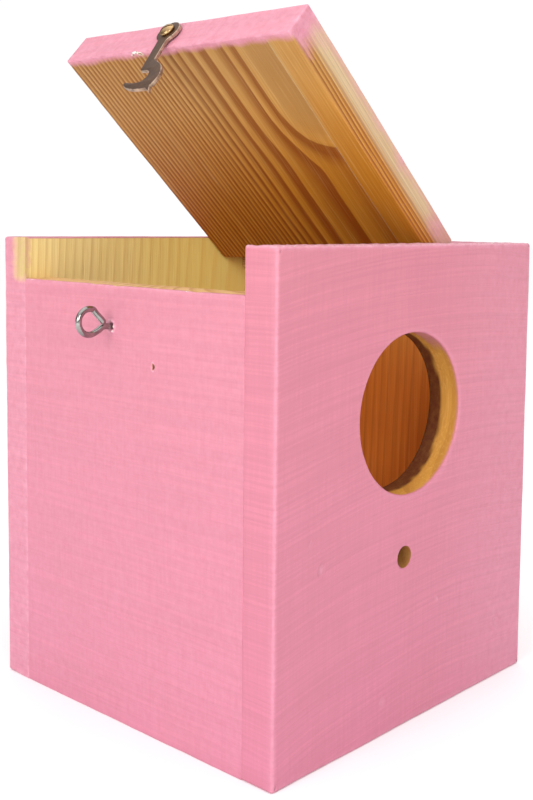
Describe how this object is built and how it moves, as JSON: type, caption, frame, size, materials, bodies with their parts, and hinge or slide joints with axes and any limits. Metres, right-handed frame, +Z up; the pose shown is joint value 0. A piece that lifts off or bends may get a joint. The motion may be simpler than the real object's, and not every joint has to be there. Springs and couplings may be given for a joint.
{
  "type": "birdhouse",
  "caption": "Square wooden nest box with a round entrance hole, a small perch hole below it, a hinged flap lid in its flat top and a hook-and-eye latch.",
  "frame": {"origin": "on the ground, under the middle of the box, at the floor board's underside", "axes": "+Z up; -Y towards the entrance hole, +Y towards the back board; -X towards the latch wall, +X towards the hinge wall; the lid's hinge axis runs along Y"},
  "size_m": [0.1395, 0.127, 0.2176],
  "materials": {
    "pink_paint": "satin pink emulsion paint brushed on pine, bare inside the box and under the lid",
    "bare_pine": "planed bare pine",
    "antique_bronze": "stamped plate with an antique bronze finish, worn bright along the edges",
    "brass": "bright brass",
    "zinc_wire": "bright zinc-plated wire",
    "nail_steel": "plain steel, sunk and filled"
  },
  "bodies": {
    "box": {"front_board": "pink_paint", "back_board": "pink_paint", "latch_wall": "pink_paint", "hinge_wall": "pink_paint", "floor_board": "bare_pine", "top_strip": "pink_paint", "nail_front_latch_1": "nail_steel", "nail_front_latch_2": "nail_steel", "nail_front_latch_3": "nail_steel", "nail_front_hinge_1": "nail_steel", "nail_front_hinge_2": "nail_steel", "nail_front_hinge_3": "nail_steel", "nail_front_floor_1": "nail_steel", "nail_front_floor_2": "nail_steel", "nail_front_strip": "nail_steel", "nail_back_latch_1": "nail_steel", "nail_back_latch_2": "nail_steel", "nail_back_latch_3": "nail_steel", "nail_back_hinge_1": "nail_steel", "nail_back_hinge_2": "nail_steel", "nail_back_hinge_3": "nail_steel", "nail_back_floor_1": "nail_steel", "nail_back_floor_2": "nail_steel", "nail_back_strip": "nail_steel", "nail_strip_1": "nail_steel", "nail_strip_2": "nail_steel", "hinge_front_strip_leaf": "antique_bronze", "hinge_back_strip_leaf": "antique_bronze", "hinge_front_pin": "brass", "hinge_back_pin": "brass", "screw_front_strip_1": "brass", "screw_front_strip_2": "brass", "screw_back_strip_1": "brass", "screw_back_strip_2": "brass", "screw_eye": "zinc_wire"},
    "lid": {"lid": "pink_paint", "hinge_front_lid_leaf": "antique_bronze", "hinge_back_lid_leaf": "antique_bronze", "screw_front_lid_1": "brass", "screw_front_lid_2": "brass", "screw_back_lid_1": "brass", "screw_back_lid_2": "brass", "hook_screw": "brass"},
    "hook": {"hook": "antique_bronze"}
  },
  "joints": [
    {"name": "lid_hinge", "type": "hinge", "parent": "box", "child": "lid", "pos_m": [0.036, 0, 0.152], "axis": [0, 1, 0], "range_deg": [-42.4, 127.6]},
    {"name": "hook_pivot", "type": "hinge", "parent": "lid", "child": "hook", "pos_m": [-0.0428, 0.0028, 0.21326], "axis": [-0.7385, 0, 0.6743], "range_deg": [-22.4, 150]}
  ]
}
